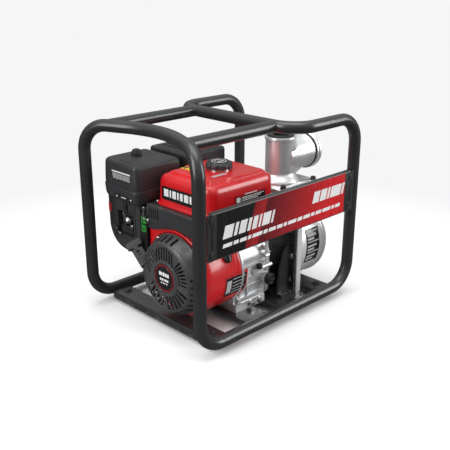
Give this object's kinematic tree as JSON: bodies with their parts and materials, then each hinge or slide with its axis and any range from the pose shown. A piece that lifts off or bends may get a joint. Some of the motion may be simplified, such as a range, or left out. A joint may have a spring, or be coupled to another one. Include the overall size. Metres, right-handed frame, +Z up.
{
  "type": "engine-driven water pump",
  "caption": "Petrol engine close-coupled to a centrifugal water pump with elbow outlet, in an open tube frame with a side panel.",
  "frame": {"origin": "on the floor under the middle of the tube frame", "axes": "+X along the crankshaft from the pull starter to the pump ports, +Z up, the side panel on the -Y side"},
  "size_m": [0.5292, 0.406, 0.46],
  "materials": {
    "frame_paint": "satin dark grey powder coat",
    "panel_paint": "gloss red and black decal on painted sheet",
    "red_paint": "high gloss red paint",
    "dark_plastic": "fine grained dark grey moulding",
    "black_plastic": "black moulding",
    "black_paint": "black heat proof paint",
    "adapter_metal": "die casting painted black",
    "rubber": "matt black rubber",
    "cast_aluminium": "as die cast, fine grain",
    "polished_aluminium": "polished die casting",
    "steel": "machined",
    "zinc_steel": "zinc plated",
    "cast_iron": "as cast",
    "filter_foam": "open cell foam",
    "rope_cord": "braided cord"
  },
  "bodies": {
    "pump_set": {"near_side_tube": "frame_paint", "far_side_tube": "frame_paint", "engine_end_bar": "frame_paint", "pump_end_bar": "frame_paint", "near_top_rail": "frame_paint", "far_top_rail": "frame_paint", "engine_end_channel": "frame_paint", "pump_end_channel": "frame_paint", "engine_base_plate": "frame_paint", "middle_base_plate": "frame_paint", "rubber_foot_1": "rubber", "rubber_foot_2": "rubber", "rubber_foot_3": "rubber", "rubber_foot_4": "rubber", "side_panel": "panel_paint", "crankcase": "cast_aluminium", "crankcase_cover": "cast_aluminium", "cylinder": "cast_aluminium", "cylinder_head": "cast_aluminium", "rocker_cover": "black_paint", "spark_plug_cap": "rubber", "blower_housing": "red_paint", "recoil_cover": "dark_plastic", "fuel_tank": "red_paint", "tank_trim": "dark_plastic", "air_cleaner_cover": "dark_plastic", "air_cleaner_base": "dark_plastic", "filter_element": "filter_foam", "control_housing": "dark_plastic", "carburettor": "cast_aluminium", "muffler_shield": "black_paint", "muffler": "cast_iron", "oil_drain_bolt": "zinc_steel", "pump_adapter": "adapter_metal", "pump_casing": "cast_aluminium", "volute": "cast_iron", "mechanical_seal": "steel", "inlet_coupling": "polished_aluminium", "discharge_elbow": "polished_aluminium", "outlet_gasket": "rubber", "outlet_coupling": "polished_aluminium"},
    "rotor": {"crankshaft": "steel", "flywheel": "cast_aluminium", "starter_cup": "steel", "impeller": "cast_iron"},
    "grip": {"recoil_grip": "dark_plastic", "starter_rope": "rope_cord"},
    "reel": {"starter_reel": "dark_plastic"},
    "cap": {"fuel_cap": "dark_plastic"},
    "cleaner_knob": {"air_cleaner_knob": "black_plastic"},
    "dipstick": {"oil_dipstick": "black_plastic"},
    "outlet_plug": {"priming_plug": "black_plastic"},
    "drain_plug": {"pump_drain_plug": "black_plastic"},
    "choke": {"choke_lever": "black_plastic"},
    "fuel_valve": {"fuel_valve_lever": "zinc_steel"},
    "throttle": {"throttle_lever": "zinc_steel"},
    "switch": {"engine_switch": "black_plastic"},
    "governor": {"governor_arm": "zinc_steel"},
    "flap": {"check_valve": "rubber"},
    "plunger": {"piston": "cast_aluminium"}
  },
  "joints": [
    {"name": "crank_spin", "type": "hinge", "parent": "pump_set", "child": "rotor", "pos_m": [0, -0.038, 0.132], "axis": [1, 0, 0], "continuous": true},
    {"name": "recoil_pull", "type": "slide", "parent": "pump_set", "child": "grip", "axis": [0, 0.891, 0.454], "range_m": [0, 0.6], "stiffness_N_per_m": 20, "springref_m": -0.5},
    {"name": "reel_spin", "type": "hinge", "parent": "pump_set", "child": "reel", "pos_m": [-0.205, -0.038, 0.132], "axis": [1, 0, 0], "range_deg": [0, 825]},
    {"name": "fuel_cap_turn", "type": "hinge", "parent": "pump_set", "child": "cap", "pos_m": [-0.055, -0.043, 0.36], "axis": [0, 0, 1], "range_deg": [0, 90]},
    {"name": "cleaner_knob_turn", "type": "hinge", "parent": "pump_set", "child": "cleaner_knob", "pos_m": [-0.143, 0.14, 0.372], "axis": [0, 0, 1], "range_deg": [0, 720]},
    {"name": "dipstick_turn", "type": "hinge", "parent": "pump_set", "child": "dipstick", "pos_m": [0.027, -0.13, 0.084], "axis": [0, -1, 0], "range_deg": [0, 720]},
    {"name": "outlet_plug_turn", "type": "hinge", "parent": "pump_set", "child": "outlet_plug", "pos_m": [0.158, -0.038, 0.4], "axis": [0, 0, 1], "range_deg": [0, 720]},
    {"name": "drain_plug_turn", "type": "hinge", "parent": "pump_set", "child": "drain_plug", "pos_m": [0.238, -0.038, 0.05], "axis": [1, 0, 0], "range_deg": [0, 720]},
    {"name": "choke_turn", "type": "hinge", "parent": "pump_set", "child": "choke", "pos_m": [-0.193, 0.122, 0.24], "axis": [1, 0, 0], "range_deg": [0, 35]},
    {"name": "fuel_valve_turn", "type": "hinge", "parent": "pump_set", "child": "fuel_valve", "pos_m": [-0.193, 0.168, 0.186], "axis": [1, 0, 0], "range_deg": [0, 90]},
    {"name": "throttle_turn", "type": "hinge", "parent": "pump_set", "child": "throttle", "pos_m": [-0.188, 0.064, 0.236], "axis": [1, 0, 0], "range_deg": [0, 40]},
    {"name": "switch_turn", "type": "hinge", "parent": "pump_set", "child": "switch", "pos_m": [-0.113, -0.13058, 0.17715], "axis": [0, -0.8988, 0.4384], "range_deg": [0, 45]},
    {"name": "governor_swing", "type": "hinge", "parent": "pump_set", "child": "governor", "pos_m": [0.022, -0.121, 0.116], "axis": [1, 0, 0], "range_deg": [0, 10], "stiffness_Nm_per_rad": 2, "springref_deg": -2.86},
    {"name": "flap_swing", "type": "hinge", "parent": "pump_set", "child": "flap", "pos_m": [0.22, -0.038, 0.193], "axis": [0, 1, 0], "range_deg": [0, 40]},
    {"name": "piston_stroke", "type": "slide", "parent": "pump_set", "child": "plunger", "axis": [0, 0.9063, 0.4226], "range_m": [0, 0.054]}
  ],
  "couplings": [
    {"joint": "reel_spin", "follows": "recoil_pull", "rad_per_m": 23.809}
  ]
}
